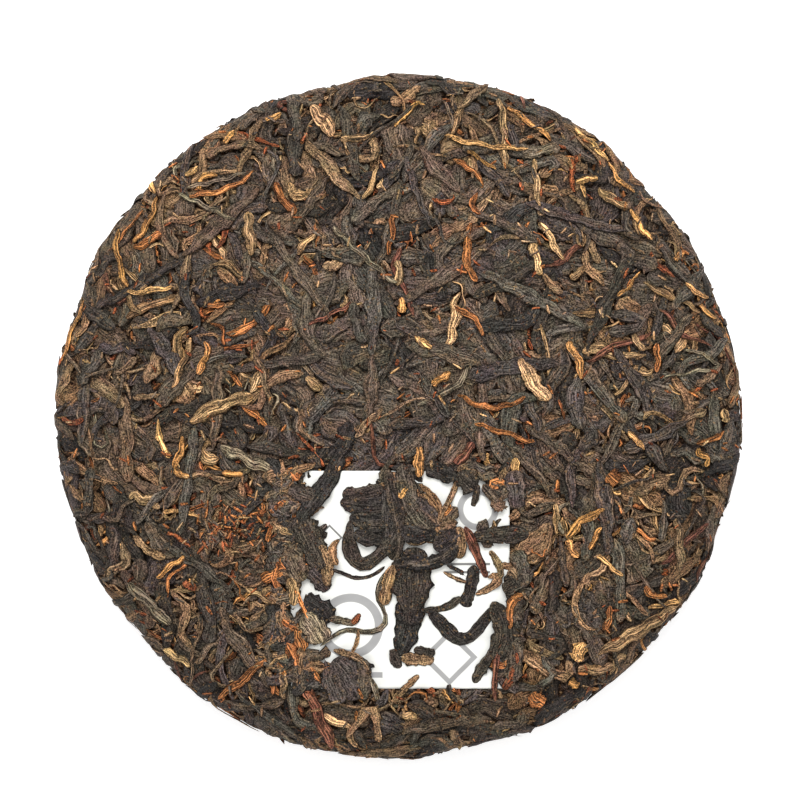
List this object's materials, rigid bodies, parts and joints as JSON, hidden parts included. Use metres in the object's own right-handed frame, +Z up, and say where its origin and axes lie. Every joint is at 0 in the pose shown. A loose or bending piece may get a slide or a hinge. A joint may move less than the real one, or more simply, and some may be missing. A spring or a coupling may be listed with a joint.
{
  "type": "pressed tea cake",
  "caption": "Round cake of pressed dark tea leaves, domed on its face, with a square paper ticket set into it and a hollow in the middle of its flat back",
  "frame": {"origin": "centre of the cake's flat resting face, on the surface that it lies on", "axes": "+Z up out of the domed face; -Y towards the edge that the paper ticket lies nearest; +X to the right when the ticket is upright"},
  "size_m": [0.1998, 0.1984, 0.0258],
  "materials": {
    "pressed_leaf": "matte",
    "ticket_paper": "matte"
  },
  "bodies": {
    "root": {"tea_cake": "pressed_leaf", "paper_ticket": "ticket_paper"}
  },
  "joints": []
}
